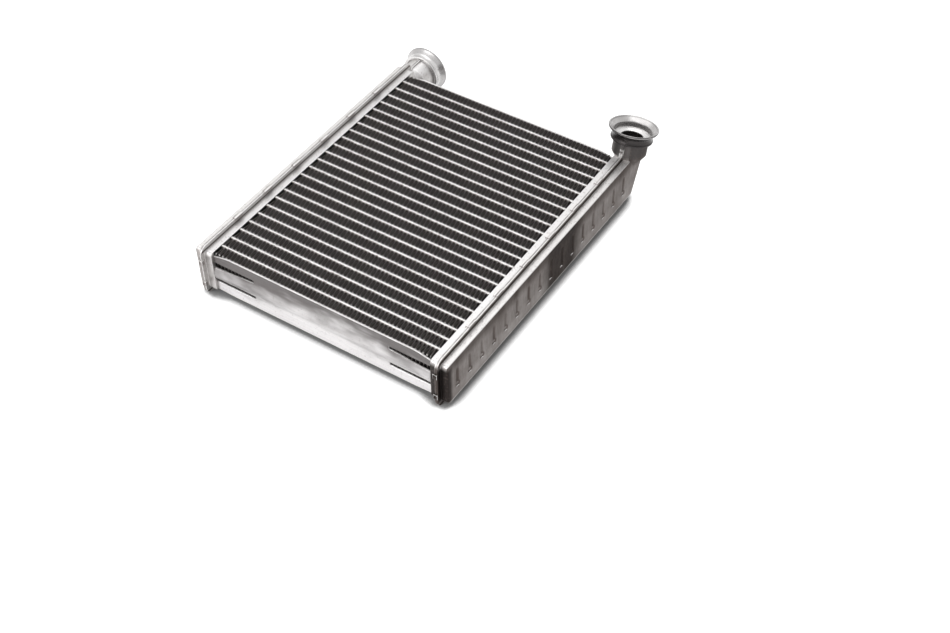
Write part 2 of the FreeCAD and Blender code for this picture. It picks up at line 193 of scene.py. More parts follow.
# across, along and up, in mm
def axesOf(tree, place):
    node = tree.nodes.new("ShaderNodeSeparateXYZ")
    tree.links.new(place, node.inputs[0])
    return [mathNode(tree, "DIVIDE", node.outputs[axis], mm) for axis in "XYZ"]


# a mask that goes smoothly from 0 to 1 between two values, upwards or downwards
def makeBandMask():
    group, start, end = newGroup("bandMask", {"Value": "Float", "From": "Float", "To": "Float"}, ["Mask"])
    node = group.nodes.new("ShaderNodeMapRange")
    node.interpolation_type = "SMOOTHSTEP"
    for socket, name in (("Value", "Value"), ("From Min", "From"), ("From Max", "To")):
        group.links.new(start.outputs[name], node.inputs[socket])
    group.links.new(node.outputs["Result"], end.inputs["Mask"])
    return group


bandMask = makeBandMask()


def maskNode(tree, value, start, stop):
    return groupNode(tree, bandMask, {"Value": value, "From": start, "To": stop}).outputs["Mask"]


# 1 on the right half of the part, whose tank the photograph shows from outside
def rightHalf(tree, across):
    return maskNode(tree, across, 0.0, 1.0)


# 1 on the folded tabs that stand before the flange's near end
def onTabEnds(tree, along):
    return maskNode(tree, difference(tree, along, tankPlaces["flangeEnd"]), *tankPlaces["tabFade"])


noiseSpan = (0.3, 0.7)     # nearly all of a noise lies between these
wearSettings = {
    "speckScale": 900.0, "specks": (0.62, 0.72, 0.0, 1.0),
    "edgePatchScale": 420.0, "edgePatches": (0.35, 0.55, 0.35, 1.0),
}


# rolled sheet after brazing: cloudy stains, a fine grain along the roll and small specks
def makeSheetWear():
    group, start, end = newGroup("sheetWear", {"Vector": "Vector", "Cloud Scale": "Float",
                                               "Grain Stretch": "Vector"}, ["Cloud", "Grain", "Specks"])
    place = start.outputs["Vector"]
    cloud = noiseNode(group, place, start.outputs["Cloud Scale"], 4.0, 0.6)
    grain = stretchedNoise(group, place, start.outputs["Grain Stretch"], 3.0, 0.7)
    specks = noiseNode(group, place, wearSettings["speckScale"], 1.0, 0.4)
    group.links.new(rangeNode(group, cloud, *noiseSpan, 0.0, 1.0), end.inputs["Cloud"])
    group.links.new(grain, end.inputs["Grain"])
    group.links.new(rangeNode(group, specks, *wearSettings["specks"]), end.inputs["Specks"])
    return group


# bright rubbed edges: the softened edges carry a mark, broken up here by noise
def makeEdgeWear():
    group, start, end = newGroup("edgeWear", {"Vector": "Vector", "Mark": "Float"}, ["Wear"])
    patches = noiseNode(group, start.outputs["Vector"], wearSettings["edgePatchScale"], 2.0, 0.6)
    wear = product(group, start.outputs["Mark"], rangeNode(group, patches, *wearSettings["edgePatches"]))
    group.links.new(wear, end.inputs["Wear"])
    return group


# painted shade on the face of the crimped flange and round its near end, and a dark joint along its middle
flangeShadowSettings = {
    "shadowStart": (-0.6, 0.1),                                # mm past the shell's top or bottom
    "shadowEnd": (0.35, -0.35), "flangeFade": (0.15, 0.05),    # mm from the flange's edge and face
    "endFade": (0.9, 0.3), "endAmount": 0.9,                   # mm before the flange's end
    "lineFade": (0.3, 0.12), "bandFade": (0.65, 0.4),          # mm from the joint
    "lineStretch": (300.0, 110.0, 300.0), "lineBreaks": (0.4, 0.6, 0.35, 0.85), "bandAmount": 0.22,
}


def makeFlangeShadowAndSeam():
    group, start, end = newGroup("flangeShadowAndSeam", {"Vector": "Vector", "Face": "Float", "Depth": "Float"},
                                 ["Shade", "Seam"])
    across, along, up = axesOf(group, start.outputs["Vector"])
    low, high = tankPlaces["low"], tankPlaces["high"]
    outward = mathNode(group, "ABSOLUTE", across)
    pastShell = difference(group, distanceFrom(group, up, (low + high) / 2), (high - low) / 2)
    pastFlange = difference(group, pastShell, start.outputs["Depth"])
    fromFace = distanceFrom(group, outward, start.outputs["Face"])
    shadow = product(group, maskNode(group, fromFace, *flangeShadowSettings["flangeFade"]),
                     maskNode(group, pastShell, *flangeShadowSettings["shadowStart"]),
                     maskNode(group, pastFlange, *flangeShadowSettings["shadowEnd"]))
    nearEnd = maskNode(group, difference(group, along, tankPlaces["flangeEnd"]), *flangeShadowSettings["endFade"])
    onEnd = product(group, nearEnd, difference(group, 1.0, onTabEnds(group, along)), rightHalf(group, across),
                    flangeShadowSettings["endAmount"])
    group.links.new(mathNode(group, "MAXIMUM", shadow, onEnd), end.inputs["Shade"])
    fromJoint = distanceFrom(group, outward, tankPlaces["joint"])
    broken = stretchedNoise(group, start.outputs["Vector"], flangeShadowSettings["lineStretch"], 2.0, 0.5)
    line = product(group, maskNode(group, fromJoint, *flangeShadowSettings["lineFade"]),
                   rangeNode(group, broken, *flangeShadowSettings["lineBreaks"]))
    band = product(group, maskNode(group, fromJoint, *flangeShadowSettings["bandFade"]), flangeShadowSettings["bandAmount"])
    group.links.new(mathNode(group, "MAXIMUM", line, band), end.inputs["Seam"])
    return group


flatLean = (0.55, 0.85)     # how upright a normal is where a face starts to count as flat, and where it does


# painted light: faces that look up or down are lightened, as if lit from above
def makeFlatFaceLight():
    group, start, end = newGroup("flatFaceLight", {"Normal": "Vector"}, ["Flat"])
    split = group.nodes.new("ShaderNodeSeparateXYZ")
    group.links.new(start.outputs["Normal"], split.inputs[0])
    upright = mathNode(group, "ABSOLUTE", split.outputs["Z"])
    group.links.new(maskNode(group, upright, *flatLean), end.inputs["Flat"])
    return group


# painted shade over the near end of the right tank, from its foot up to the top face
nearEndShadeSettings = {"topFade": (-0.5, -4.0), "footFade": (0.0, 2.5), "amount": 0.97}     # mm from top and foot


def makeNearEndShade():
    group, start, end = newGroup("nearEndShade", {"Vector": "Vector", "From": "Float", "To": "Float"},
                                 ["Shade", "Tabs"])
    across, along, up = axesOf(group, start.outputs["Vector"])
    fromTop = difference(group, up, tankPlaces["high"])
    fromFoot = difference(group, up, tankPlaces["low"])
    shade = product(group, maskNode(group, along, start.outputs["From"], start.outputs["To"]),
                    maskNode(group, fromTop, *nearEndShadeSettings["topFade"]),
                    maskNode(group, fromFoot, *nearEndShadeSettings["footFade"]),
                    rightHalf(group, across), nearEndShadeSettings["amount"])
    group.links.new(shade, end.inputs["Shade"])
    group.links.new(onTabEnds(group, along), end.inputs["Tabs"])
    return group


# painted shade on the right neck above the shell, and painted highlights in spots along its seam ridge
neckSettings = {
    "rise": (0.5, 3.0), "amount": 0.88,            # mm above the shell
    "seamFade": (1.2, 0.9),                        # mm from the joint
    "spotStretch": (100.0, 100.0, 300.0), "spots": (0.50, 0.56, 0.0, 1.0),
}


def makeNeckShadeAndGlints():
    group, start, end = newGroup("neckShadeAndGlints", {"Vector": "Vector"}, ["Neck", "Ridge"])
    across, along, up = axesOf(group, start.outputs["Vector"])
    aboveShell = difference(group, up, tankPlaces["high"])
    onNeck = product(group, maskNode(group, aboveShell, *neckSettings["rise"]), rightHalf(group, across),
                     maskNode(group, along, *tankPlaces["neckStart"]))
    group.links.new(product(group, onNeck, neckSettings["amount"]), end.inputs["Neck"])
    spots = stretchedNoise(group, start.outputs["Vector"], neckSettings["spotStretch"], 1.0, 0.5)
    fromSeam = distanceFrom(group, across, tankPlaces["joint"])
    ridgeGlints = product(group, maskNode(group, fromSeam, *neckSettings["seamFade"]),
                    rangeNode(group, spots, *neckSettings["spots"]), onNeck)
    group.links.new(ridgeGlints, end.inputs["Ridge"])
    return group


# distance in mm from the nearest tube's middle, and which side of it
def makeTubeRow():
    group, start, end = newGroup("tubeRow", {"Vector": "Vector"}, ["From Tube", "Side"])
    across, along, up = axesOf(group, start.outputs["Vector"])
    fromGap = difference(group, along, tubeMiddle + tubePitch / 2)
    offset = difference(group, mathNode(group, "WRAP", fromGap, tubePitch, 0.0), tubePitch / 2)
    group.links.new(mathNode(group, "ABSOLUTE", offset), end.inputs["From Tube"])
    group.links.new(mathNode(group, "GREATER_THAN", offset, 0.0), end.inputs["Side"])
    return group


sheetWear = makeSheetWear()
edgeWear = makeEdgeWear()
flangeShadowAndSeam = makeFlangeShadowAndSeam()
flatFaceLight = makeFlatFaceLight()
nearEndShade = makeNearEndShade()
neckShadeAndGlints = makeNeckShadeAndGlints()
tubeRow = makeTubeRow()


def startMaterial(name):
    material = bpy.data.materials.new(name)
    material.use_nodes = True
    tree = material.node_tree
    shader = tree.nodes["Principled BSDF"]
    place = tree.nodes.new("ShaderNodeTexCoord")
    return material, tree, shader, place.outputs["Object"]


def facingOf(tree):
    return tree.nodes.new("ShaderNodeNewGeometry").outputs["Normal"]


# one sheet-metal finish; each piece gives its own colours, gloss and grain, and may add marks of its own
def makeSheetMetal(name, look, addMarks=None):
    material, tree, shader, place = startMaterial(name)
    wear = groupNode(tree, sheetWear, {"Vector": place, "Cloud Scale": look["cloudScale"],
                                       "Grain Stretch": look["grainStretch"]})
    grain = wear.outputs["Grain"]
    stain = rangeNode(tree, grain, *noiseSpan, 0.0, look["grainStain"])
    rough = rangeNode(tree, grain, *noiseSpan, *look["roughness"])
    body = mixColour(tree, wear.outputs["Cloud"], look["darkColour"], look["lightColour"])
    body = mixColour(tree, stain, body, look["stainColour"])
    rubbed = None
    if "edgeAmount" in look:     # only pieces with softened edges carry the mark
        mark = tree.nodes.new("ShaderNodeAttribute")
        mark.attribute_name = "wornEdge"
        rubbed = groupNode(tree, edgeWear, {"Vector": place, "Mark": mark.outputs["Fac"]}).outputs["Wear"]
        body = mixColour(tree, product(tree, rubbed, look["edgeAmount"]), body, look["wearAndHighlightColour"])
        rough = difference(tree, rough, product(tree, rubbed, look["edgeGloss"]))
    height = grain
    if addMarks:
        body, height = addMarks(tree, place, body, height, rubbed)
    specked = product(tree, wear.outputs["Specks"], look["speckAmount"])
    tree.links.new(mixColour(tree, specked, body, look["speckColour"]), shader.inputs["Base Color"])
    tree.links.new(rough, shader.inputs["Roughness"])
    shader.inputs["Metallic"].default_value = look["metallic"]
    shader.inputs["Specular Tint"].default_value = look.get("grazeTint", colour(1, 1, 1))
    bump = tree.nodes.new("ShaderNodeBump")
    bump.inputs["Strength"].default_value = look["bumpStrength"]
    bump.inputs["Distance"].default_value = look["bumpDepth"]
    tree.links.new(height, bump.inputs["Height"])
    tree.links.new(bump.outputs["Normal"], shader.inputs["Normal"])
    return material


trayLook = {
    "cloudScale": 35.0, "grainStretch": (1800.0, 160.0, 1800.0),
    "darkColour": colour(0.50, 0.48, 0.47), "lightColour": colour(0.68, 0.67, 0.66),
    "stainColour": colour(0.36, 0.33, 0.32), "grainStain": 0.3,
    "speckColour": colour(0.20, 0.17, 0.15), "speckAmount": 0.35,
    "wearAndHighlightColour": colour(0.92, 0.91, 0.9), "edgeAmount": 0.8, "edgeGloss": 0.1,
    "roughness": (0.28, 0.45), "metallic": 0.75, "bumpStrength": 0.35, "bumpDepth": 0.08 * mm,
    "grazeTint": colour(0.6, 0.58, 0.57),
    "flatLightColour": colour(0.74, 0.73, 0.73), "flatLightAmount": 0.8,
    "flangeShadowAndSeamColour": colour(0.10, 0.085, 0.08), "endShade": colour(0.014, 0.010, 0.009),
    "neckShade": colour(0.05, 0.046, 0.045),
    "flangeFace": 72.75, "flangeDepth": 0.9, "endShadeBand": (-100.4, -101.3),     # in mm
}
tankLook = {
    "cloudScale": 42.0, "grainStretch": (1200.0, 420.0, 130.0),
    "darkColour": colour(0.30, 0.275, 0.265), "lightColour": colour(0.50, 0.475, 0.465),
    "stainColour": colour(0.20, 0.175, 0.165), "grainStain": 0.45,
    "speckColour": colour(0.12, 0.095, 0.085), "speckAmount": 0.35,
    "wearAndHighlightColour": colour(0.88, 0.87, 0.86), "edgeAmount": 0.75, "edgeGloss": 0.1,
    "roughness": (0.3, 0.48), "metallic": 0.75, "bumpStrength": 0.5, "bumpDepth": 0.12 * mm,
    "grazeTint": colour(0.4, 0.38, 0.37),
    "flatLightColour": colour(0.73, 0.715, 0.705), "flatLightAmount": 0.95,
    "flangeShadowAndSeamColour": colour(0.07, 0.058, 0.053), "endShade": colour(0.014, 0.010, 0.009),
    "neckShade": colour(0.06, 0.055, 0.054),
    "flangeFace": 74.55, "flangeDepth": 1.9, "endShadeBand": (-96.5, -100.0),      # in mm
    "patchStretch": (300.0, 95.0, 14.0), "patchSpan": (0.35, 0.6),
    "grooveRow": (-9.7, 11.1, 16),               # middle and pitch in mm, and how many grooves
    "rowFade": 0.5,
    "streakSide": (1.7, 0.9), "streakFoot": (12.5, 14.0), "streakTop": (24.5, 21.0),     # in mm
    "streakShade": colour(0.075, 0.058, 0.05), "streakAmount": 0.8, "streakPatches": (0.35, 1.0),
    "dimple": (11.9, 1.5, 0.75),                 # height, radius and ring width in mm
    "ringCore": 0.3, "dimpleDip": 1.5,           # share of the ring that is fully dark, and how deep it looks
    "sideShade": colour(0.05, 0.04, 0.035), "sidePatches": (-0.12, 0.12),
    "sideLow": (8.0, 14.0, 0.15, 0.42),          # two heights in mm, and how dark the face is at each
    "sideHigh": (22.0, 28.0, 0.0, 0.45),
    "darkReflectionColour": colour(0.018, 0.014, 0.012), "darkReflectionPatches": (0.8, 0.97),
    "darkReflectionStart": (-17.0, -3.0), "darkReflectionEnd": (34.0, 16.0),                        # in mm along the tank
    "footHighlight": (5.1, 4.3), "footHighlightAmount": 0.65,
}


# what trays and tanks share, each with its own values: painted light on flats, and painted shade on the near
# end, neck and flange, with the flange's dark joint
def addPressedMarks(tree, place, body, rubbed, look):
    flat = groupNode(tree, flatFaceLight, {"Normal": facingOf(tree)}).outputs["Flat"]
    # painted light on the flat faces
    body = mixColour(tree, product(tree, flat, look["flatLightAmount"]), body, look["flatLightColour"])
    # painted shade over the near end of the right tank
    start, stop = look["endShadeBand"]
    endShading = groupNode(tree, nearEndShade, {"Vector": place, "From": start, "To": stop})
    body = mixColour(tree, endShading.outputs["Shade"], body, look["endShade"])
    # the rubbed tab edges brightened further: wear, and a painted highlight on the tabs
    body = mixColour(tree, product(tree, rubbed, endShading.outputs["Tabs"]), body, look["wearAndHighlightColour"])
    # painted shade on the right neck, and painted highlights on its seam ridge
    neckLight = groupNode(tree, neckShadeAndGlints, {"Vector": place})
    body = mixColour(tree, neckLight.outputs["Neck"], body, look["neckShade"])
    body = mixColour(tree, neckLight.outputs["Ridge"], body, look["wearAndHighlightColour"])
    # painted shade on the flange's face and near end, and the dark joint along its middle
    shadowAndSeam = groupNode(tree, flangeShadowAndSeam, {"Vector": place, "Face": look["flangeFace"],
                                          "Depth": look["flangeDepth"]})
    body = mixColour(tree, shadowAndSeam.outputs["Shade"], body, look["flangeShadowAndSeamColour"])
    return mixColour(tree, shadowAndSeam.outputs["Seam"], body, look["flangeShadowAndSeamColour"])


def addTrayMarks(tree, place, body, height, rubbed):
    return addPressedMarks(tree, place, body, rubbed, trayLook), height


# the tank's outer face: patchy painted shade in the grooves and round each dimple, painted shade growing
# upwards, a painted highlight along the foot, and on the right a painted dark reflection, almost black, at
# mid-length
def addTankMarks(tree, place, body, height, rubbed):
    look = tankLook
    across, along, up = axesOf(tree, place)
    faceSpan = tankPlaces["outerFace"] - tankPlaces["faceFade"], tankPlaces["outerFace"]
    onFace = maskNode(tree, mathNode(tree, "ABSOLUTE", across), *faceSpan)
    patchy = stretchedNoise(tree, place, look["patchStretch"], 2.0, 0.5)
    middle, pitch, count = look["grooveRow"]
    fromMiddle = difference(tree, along, middle)
    fromGap = mathNode(tree, "ABSOLUTE", mathNode(tree, "WRAP", fromMiddle, pitch, 0.0))
    offset = difference(tree, fromGap, pitch / 2)
    rowSpan = count * pitch / 2 + look["rowFade"], count * pitch / 2
    inRow = product(tree, onFace, maskNode(tree, mathNode(tree, "ABSOLUTE", fromMiddle), *rowSpan))
    # painted shade in the grooves, in patches
    streak = product(tree, maskNode(tree, mathNode(tree, "ABSOLUTE", offset), *look["streakSide"]),
                     maskNode(tree, up, *look["streakFoot"]), maskNode(tree, up, *look["streakTop"]), inRow,
                     rangeNode(tree, patchy, *look["patchSpan"], *look["streakPatches"]),
                     look["streakAmount"])
    body = mixColour(tree, streak, body, look["streakShade"])
    # painted shade in a ring round each dimple
    centre, radius, ringWidth = look["dimple"]
    lift = difference(tree, up, centre)
    reach = mathNode(tree, "SQRT", total(tree, product(tree, offset, offset), product(tree, lift, lift)))
    fromRing = distanceFrom(tree, reach, radius)
    ring = product(tree, maskNode(tree, fromRing, ringWidth, ringWidth * look["ringCore"]), inRow)
    body = mixColour(tree, product(tree, ring, look["streakAmount"]), body, look["streakShade"])
    # painted shade, growing darker upwards on the outer face, with patches
    upper = total(tree, rangeNode(tree, up, *look["sideLow"]), rangeNode(tree, up, *look["sideHigh"]),
                  rangeNode(tree, patchy, *noiseSpan, *look["sidePatches"]))
    body = mixColour(tree, product(tree, upper, onFace), body, look["sideShade"])
    # painted dark reflection, almost black, over a stretch of the right tank's face
    darkReflection = product(tree, maskNode(tree, along, *look["darkReflectionStart"]), maskNode(tree, along, *look["darkReflectionEnd"]),
                   maskNode(tree, across, *faceSpan),
                   rangeNode(tree, patchy, *look["patchSpan"], *look["darkReflectionPatches"]))
    body = mixColour(tree, darkReflection, body, look["darkReflectionColour"])
    # painted highlight along the foot of the outer face
    foot = product(tree, maskNode(tree, up, *look["footHighlight"]), onFace, look["footHighlightAmount"])
    body = mixColour(tree, foot, body, look["wearAndHighlightColour"])
    body = addPressedMarks(tree, place, body, rubbed, look)
    return body, difference(tree, height, product(tree, ring, look["dimpleDip"]))


plateLook = {
    "cloudScale": 22.0, "grainStretch": (90.0, 1500.0, 1500.0),
    "darkColour": colour(0.85, 0.83, 0.83), "lightColour": colour(0.97, 0.95, 0.95),
    "stainColour": colour(0.6, 0.57, 0.57), "grainStain": 0.35,
    "speckColour": colour(0.22, 0.19, 0.18), "speckAmount": 0.25,
    "roughness": (0.3, 0.5), "metallic": 0.35, "bumpStrength": 0.3, "bumpDepth": 0.1 * mm,
    "upperDarkColour": colour(0.075, 0.062, 0.06), "upperDarkAmount": 0.92,
    "upperDarkBand": (11.0, 27.5),                    # heights in mm between which the darkening sets in
    "wanderStretch": (16.0, 40.0, 60.0), "wander": (-7.5, 7.5),
    "blotchStretch": (60.0, 110.0, 130.0), "blotch": (-2.5, 2.5),
    "leftRise": (-60.0, 20.0, 3.5, -1.0),        # two places across, and how much lower the tint hangs there
    "rightRise": (36.0, 50.0, 0.0, 2.0),
}


# the side plates are darker towards their upper edge, in wandering blotches
def addPlateMarks(tree, place, body, height, rubbed):
    look = plateLook
    across, along, up = axesOf(tree, place)
    wander = stretchedNoise(tree, place, look["wanderStretch"], 3.0, 0.55)
    blotch = stretchedNoise(tree, place, look["blotchStretch"], 2.0, 0.6)
    level = total(tree, up, rangeNode(tree, wander, *noiseSpan, *look["wander"]),
                  rangeNode(tree, blotch, *noiseSpan, *look["blotch"]),
                  rangeNode(tree, across, *look["leftRise"]), rangeNode(tree, across, *look["rightRise"]))
    tint = product(tree, maskNode(tree, level, *look["upperDarkBand"]), look["upperDarkAmount"])
    return mixColour(tree, tint, body, look["upperDarkColour"]), height


# the sheared edges of the side plates
rimLook = {
    "cloudScale": 90.0, "grainStretch": (900.0, 900.0, 900.0),
    "darkColour": colour(0.66, 0.65, 0.64), "lightColour": colour(0.90, 0.89, 0.88),
    "stainColour": colour(0.5, 0.48, 0.47), "grainStain": 0.3,
    "speckColour": colour(0.25, 0.22, 0.21), "speckAmount": 0.3,
    "roughness": (0.3, 0.45), "metallic": 0.5, "bumpStrength": 0.3, "bumpDepth": 0.05 * mm,
}
collarLook = {
    "cloudScale": 80.0, "grainStretch": (200.0, 200.0, 500.0),
    "darkColour": colour(0.42, 0.41, 0.405), "lightColour": colour(0.62, 0.61, 0.605),
    "stainColour": colour(0.26, 0.245, 0.24), "grainStain": 0.25,
    "speckColour": colour(0.20, 0.18, 0.17), "speckAmount": 0.04,
    "roughness": (0.24, 0.3), "metallic": 0.8, "bumpStrength": 0.04, "bumpDepth": 0.02 * mm,
}
# depths below the rim and radii are in mm; a lean is 1 on a face that looks the way the collar opens
shadedCollarLook = {
    "collarShadeColour": colour(0.022, 0.018, 0.018), "collarShadeAmount": 0.96,
    "underLean": (-0.05, -0.3), "skirtDepth": (2.6, 3.2), "skirtRadius": (10.8, 11.1),
    "wallLean": (0.75, 0.2), "wallTop": (1.2, 3.0), "wallFoot": (5.7, 4.8), "wallAmount": 0.42,
    "lipDepth": (0.9, 0.5), "outerLine": (13.7, 13.85), "outerAmount": 0.8,
    "innerLineStart": (12.6, 12.9), "innerLineEnd": (13.25, 13.05), "innerAmount": 0.45,
    "ledgeHighlightColour": colour(0.9, 0.89, 0.88), "ledgeAmount": 0.85,
    "ledgeLean": (0.85, 0.95), "ledgeDepth": (4.8, 5.2),
}
# painted light: a lighter copy of the collar's colours, with painted shade on flare and lip
litCollarLook = {
    "darkColour": colour(0.60, 0.59, 0.585), "lightColour": colour(0.82, 0.81, 0.805),
    "flareColour": colour(0.42, 0.41, 0.41), "flareDepth": (3.6, 2.7), "flareAmount": 0.7,
    "lipColour": colour(0.26, 0.25, 0.25), "lipDepth": (1.4, 1.0), "lipAmount": 0.6,
}


# the right collar: painted shade outside below its lip, down the socket wall and in lines round the lip, a
# bright flare, and a painted highlight on the ledge
def addShadedCollarMarks(tree, place, body, height, rubbed):
    look = shadedCollarLook
    collar = collarPlaces["right"]
    fromRim = vectorNode(tree, "SUBTRACT", place, [step * mm for step in collar["rim"]]).outputs["Vector"]
    along = dotOf(tree, fromRim, collar["axis"])
    aside = difference(tree, dotOf(tree, fromRim, fromRim), product(tree, along, along))
    radius = mathNode(tree, "DIVIDE", mathNode(tree, "SQRT", aside), mm)
    depth = mathNode(tree, "DIVIDE", along, -mm)
    lean = dotOf(tree, facingOf(tree), collar["axis"])
    # painted shade under the flare and round the skirt
    under = maskNode(tree, lean, *look["underLean"])
    skirt = product(tree, maskNode(tree, depth, *look["skirtDepth"]),
                    maskNode(tree, radius, *look["skirtRadius"]))
    outside = product(tree, mathNode(tree, "MAXIMUM", under, skirt), look["collarShadeAmount"])
    # painted shade down the socket wall
    wall = product(tree, maskNode(tree, mathNode(tree, "ABSOLUTE", lean), *look["wallLean"]),
                   maskNode(tree, depth, *look["wallTop"]), maskNode(tree, depth, *look["wallFoot"]),
                   look["wallAmount"])
    # painted shade in dark lines round the lip
    outerLine = product(tree, maskNode(tree, radius, *look["outerLine"]), look["outerAmount"])
    innerLine = product(tree, maskNode(tree, radius, *look["innerLineStart"]),
                        maskNode(tree, radius, *look["innerLineEnd"]), look["innerAmount"])
    lines = product(tree, mathNode(tree, "MAXIMUM", outerLine, innerLine),
                    maskNode(tree, depth, *look["lipDepth"]))
    body = mixColour(tree, lines, body, look["collarShadeColour"])
    # painted highlight on the ledge
    ledge = product(tree, maskNode(tree, lean, *look["ledgeLean"]),
                    maskNode(tree, depth, *look["ledgeDepth"]), look["ledgeAmount"])
    body = mixColour(tree, ledge, body, look["ledgeHighlightColour"])
    return mixColour(tree, mathNode(tree, "MAXIMUM", outside, wall), body, look["collarShadeColour"]), height


# the left collar, seen from its back: painted light in a lighter copy of the collar's colours, painted shade
# on the flare and more on its lip
def addLitCollarMarks(tree, place, body, height, rubbed):
    look = litCollarLook
    across, along, up = axesOf(tree, place)
    depth = difference(tree, collarPlaces["left"]["rim"][1], along)
    # painted shade on the flare, and more on its lip
    for part in ("flare", "lip"):
        amount = product(tree, maskNode(tree, depth, *look[part + "Depth"]), look[part + "Amount"])
        body = mixColour(tree, amount, body, look[part + "Colour"])
    return body, height


tubeLook = {
    "cloudScale": 60.0, "grainStretch": (500.0, 2500.0, 2500.0),
    "darkColour": colour(0.70, 0.69, 0.68), "lightColour": colour(0.88, 0.87, 0.86),
    "stainColour": colour(0.45, 0.43, 0.42), "grainStain": 0.45,
    "speckColour": colour(0.22, 0.19, 0.18), "speckAmount": 0.5,
    "roughness": (0.28, 0.5), "metallic": 0.6, "bumpStrength": 0.5, "bumpDepth": 0.15 * mm,
    "flankShadeColour": colour(0.13, 0.115, 0.11), "crownBand": (0.42, 0.66),     # in mm from the tube's middle
    "raggedStretch": (900.0, 300.0, 300.0), "ragged": (-0.22, 0.22),
}


# tubes: the nose is bright along its crown, with painted shade on its flanks towards the fins
def addTubeMarks(tree, place, body, height, rubbed):
    ragged = stretchedNoise(tree, place, tubeLook["raggedStretch"], 2.0, 0.6)
    fromCrown = total(tree, groupNode(tree, tubeRow, {"Vector": place}).outputs["From Tube"],
                      rangeNode(tree, ragged, *noiseSpan, *tubeLook["ragged"]))
    # painted shade on the flanks, away from the crown
    flankShade = maskNode(tree, fromCrown, *tubeLook["crownBand"])
    return mixColour(tree, flankShade, body, tubeLook["flankShadeColour"]), height


finLook = {
    "cloudScale": 50.0, "grainStretch": (1500.0, 1500.0, 500.0),
    "darkColour": colour(0.085, 0.074, 0.07), "lightColour": colour(0.15, 0.135, 0.13),
    "stainColour": colour(0.05, 0.042, 0.04), "grainStain": 0.4,
    "speckColour": colour(0.35, 0.33, 0.31), "speckAmount": 0.3,
    "roughness": (0.4, 0.6), "metallic": 0.6, "bumpStrength": 0.3, "bumpDepth": 0.1 * mm,
    "crestGlintColour": colour(0.85, 0.83, 0.82), "crestReach": (1.6, 1.15),      # in mm from the tube's middle
    "crestRise": (28.8, 29.5), "crestGlintSides": (0.45, 0.9),                    # heights in mm, amount by side
    "rimHighlightColour": colour(0.42, 0.385, 0.37), "rimRise": (29.5, 29.95), "rimHighlightSides": (0.25, 0.6),
    "foldStart": -67.25, "foldPitch": 134.5 / 58,                            # in mm
}


# fins: dull walls, a painted highlight on the rims at the top, and a painted glint on the brazed crests
# against the tubes
def addFinMarks(tree, place, body, height, rubbed):
    look = finLook
    across, along, up = axesOf(tree, place)
    phase = mathNode(tree, "WRAP", difference(tree, across, look["foldStart"]), look["foldPitch"], 0.0)
    foldSide = mathNode(tree, "GREATER_THAN", phase, look["foldPitch"] / 2)
    # painted highlight on the rims at the top, stronger on every other fold
    rim = product(tree, maskNode(tree, up, *look["rimRise"]),
                  rangeNode(tree, foldSide, 0.0, 1.0, *look["rimHighlightSides"]))
    body = mixColour(tree, rim, body, look["rimHighlightColour"])
    row = groupNode(tree, tubeRow, {"Vector": place})
    # painted glint on the crests beside each tube, stronger on one side
    crest = product(tree, maskNode(tree, row.outputs["From Tube"], *look["crestReach"]),
                    maskNode(tree, up, *look["crestRise"]),
                    rangeNode(tree, row.outputs["Side"], 0.0, 1.0, *look["crestGlintSides"]))
    return mixColour(tree, crest, body, look["crestGlintColour"]), height


tubeMetal = makeSheetMetal("brightTube", tubeLook, addTubeMarks)
trayMetal = makeSheetMetal("paleTray", trayLook, addTrayMarks)
tankMetal = makeSheetMetal("brazedTank", tankLook, addTankMarks)
plateMetal = makeSheetMetal("rolledPlate", plateLook, addPlateMarks)
rimMetal = makeSheetMetal("shearedRim", rimLook)
collarMetals = {
    "left": makeSheetMetal("litCollar", {**collarLook, **litCollarLook}, addLitCollarMarks),
    "right": makeSheetMetal("shadedCollar", collarLook, addShadedCollarMarks),
}
finMetal = makeSheetMetal("darkFin", finLook, addFinMarks)
print("materials made")


def placeMesh(name, build):
    mesh = bpy.data.meshes.new(name)
    build.to_mesh(mesh)
    build.free()
    piece = bpy.data.objects.new(name, mesh)
    bpy.context.scene.collection.objects.link(piece)
    return piece


def finishedObject(name, build, material, replaced):
    piece = placeMesh(name, build)
    piece.data.materials.append(material)
    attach(piece, "root")
    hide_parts(replaced)
    return piece


def shadeSoftly(piece, angle):
    for face in piece.data.polygons:
        face.use_smooth = True
    piece.data.set_sharp_from_angle(angle=math.radians(angle))


# pressed and drawn pieces: the CAD shape with its hard edges rounded off and marked for wear
softSettings = {
    "edge": 0.14 * mm, "segments": 2,
    "sharpAngle": 32, "flatAngle": 1,     # degrees: edges that are rounded, and faces that are merged
    "merge": 0.002 * mm,
    "smoothAngle": 40,
}


def softenCopy(node):
    build = bmesh.new()
    build.from_mesh(nodes[node].data)
    bmesh.ops.remove_doubles(build, verts=build.verts[:], dist=softSettings["merge"])
    worn = build.faces.layers.float.new("wornEdge")
    bmesh.ops.dissolve_limit(build, angle_limit=math.radians(softSettings["flatAngle"]),
                             use_dissolve_boundaries=False, verts=build.verts[:], edges=build.edges[:])
    limit = math.radians(softSettings["sharpAngle"])
    sharp = [edge for edge in build.edges if edge.calc_face_angle() > limit]
    made = bmesh.ops.bevel(build, geom=sharp, offset=softSettings["edge"], offset_type="OFFSET",
                           segments=softSettings["segments"], profile=0.5, affect="EDGES",
                           clamp_overlap=False, material=-1)
    for face in made["faces"]:
        inGroove = abs(face.calc_center_median().x) > tankPlaces["outerFace"] * mm
        face[worn] = 0.0 if inGroove else 1.0
    return build


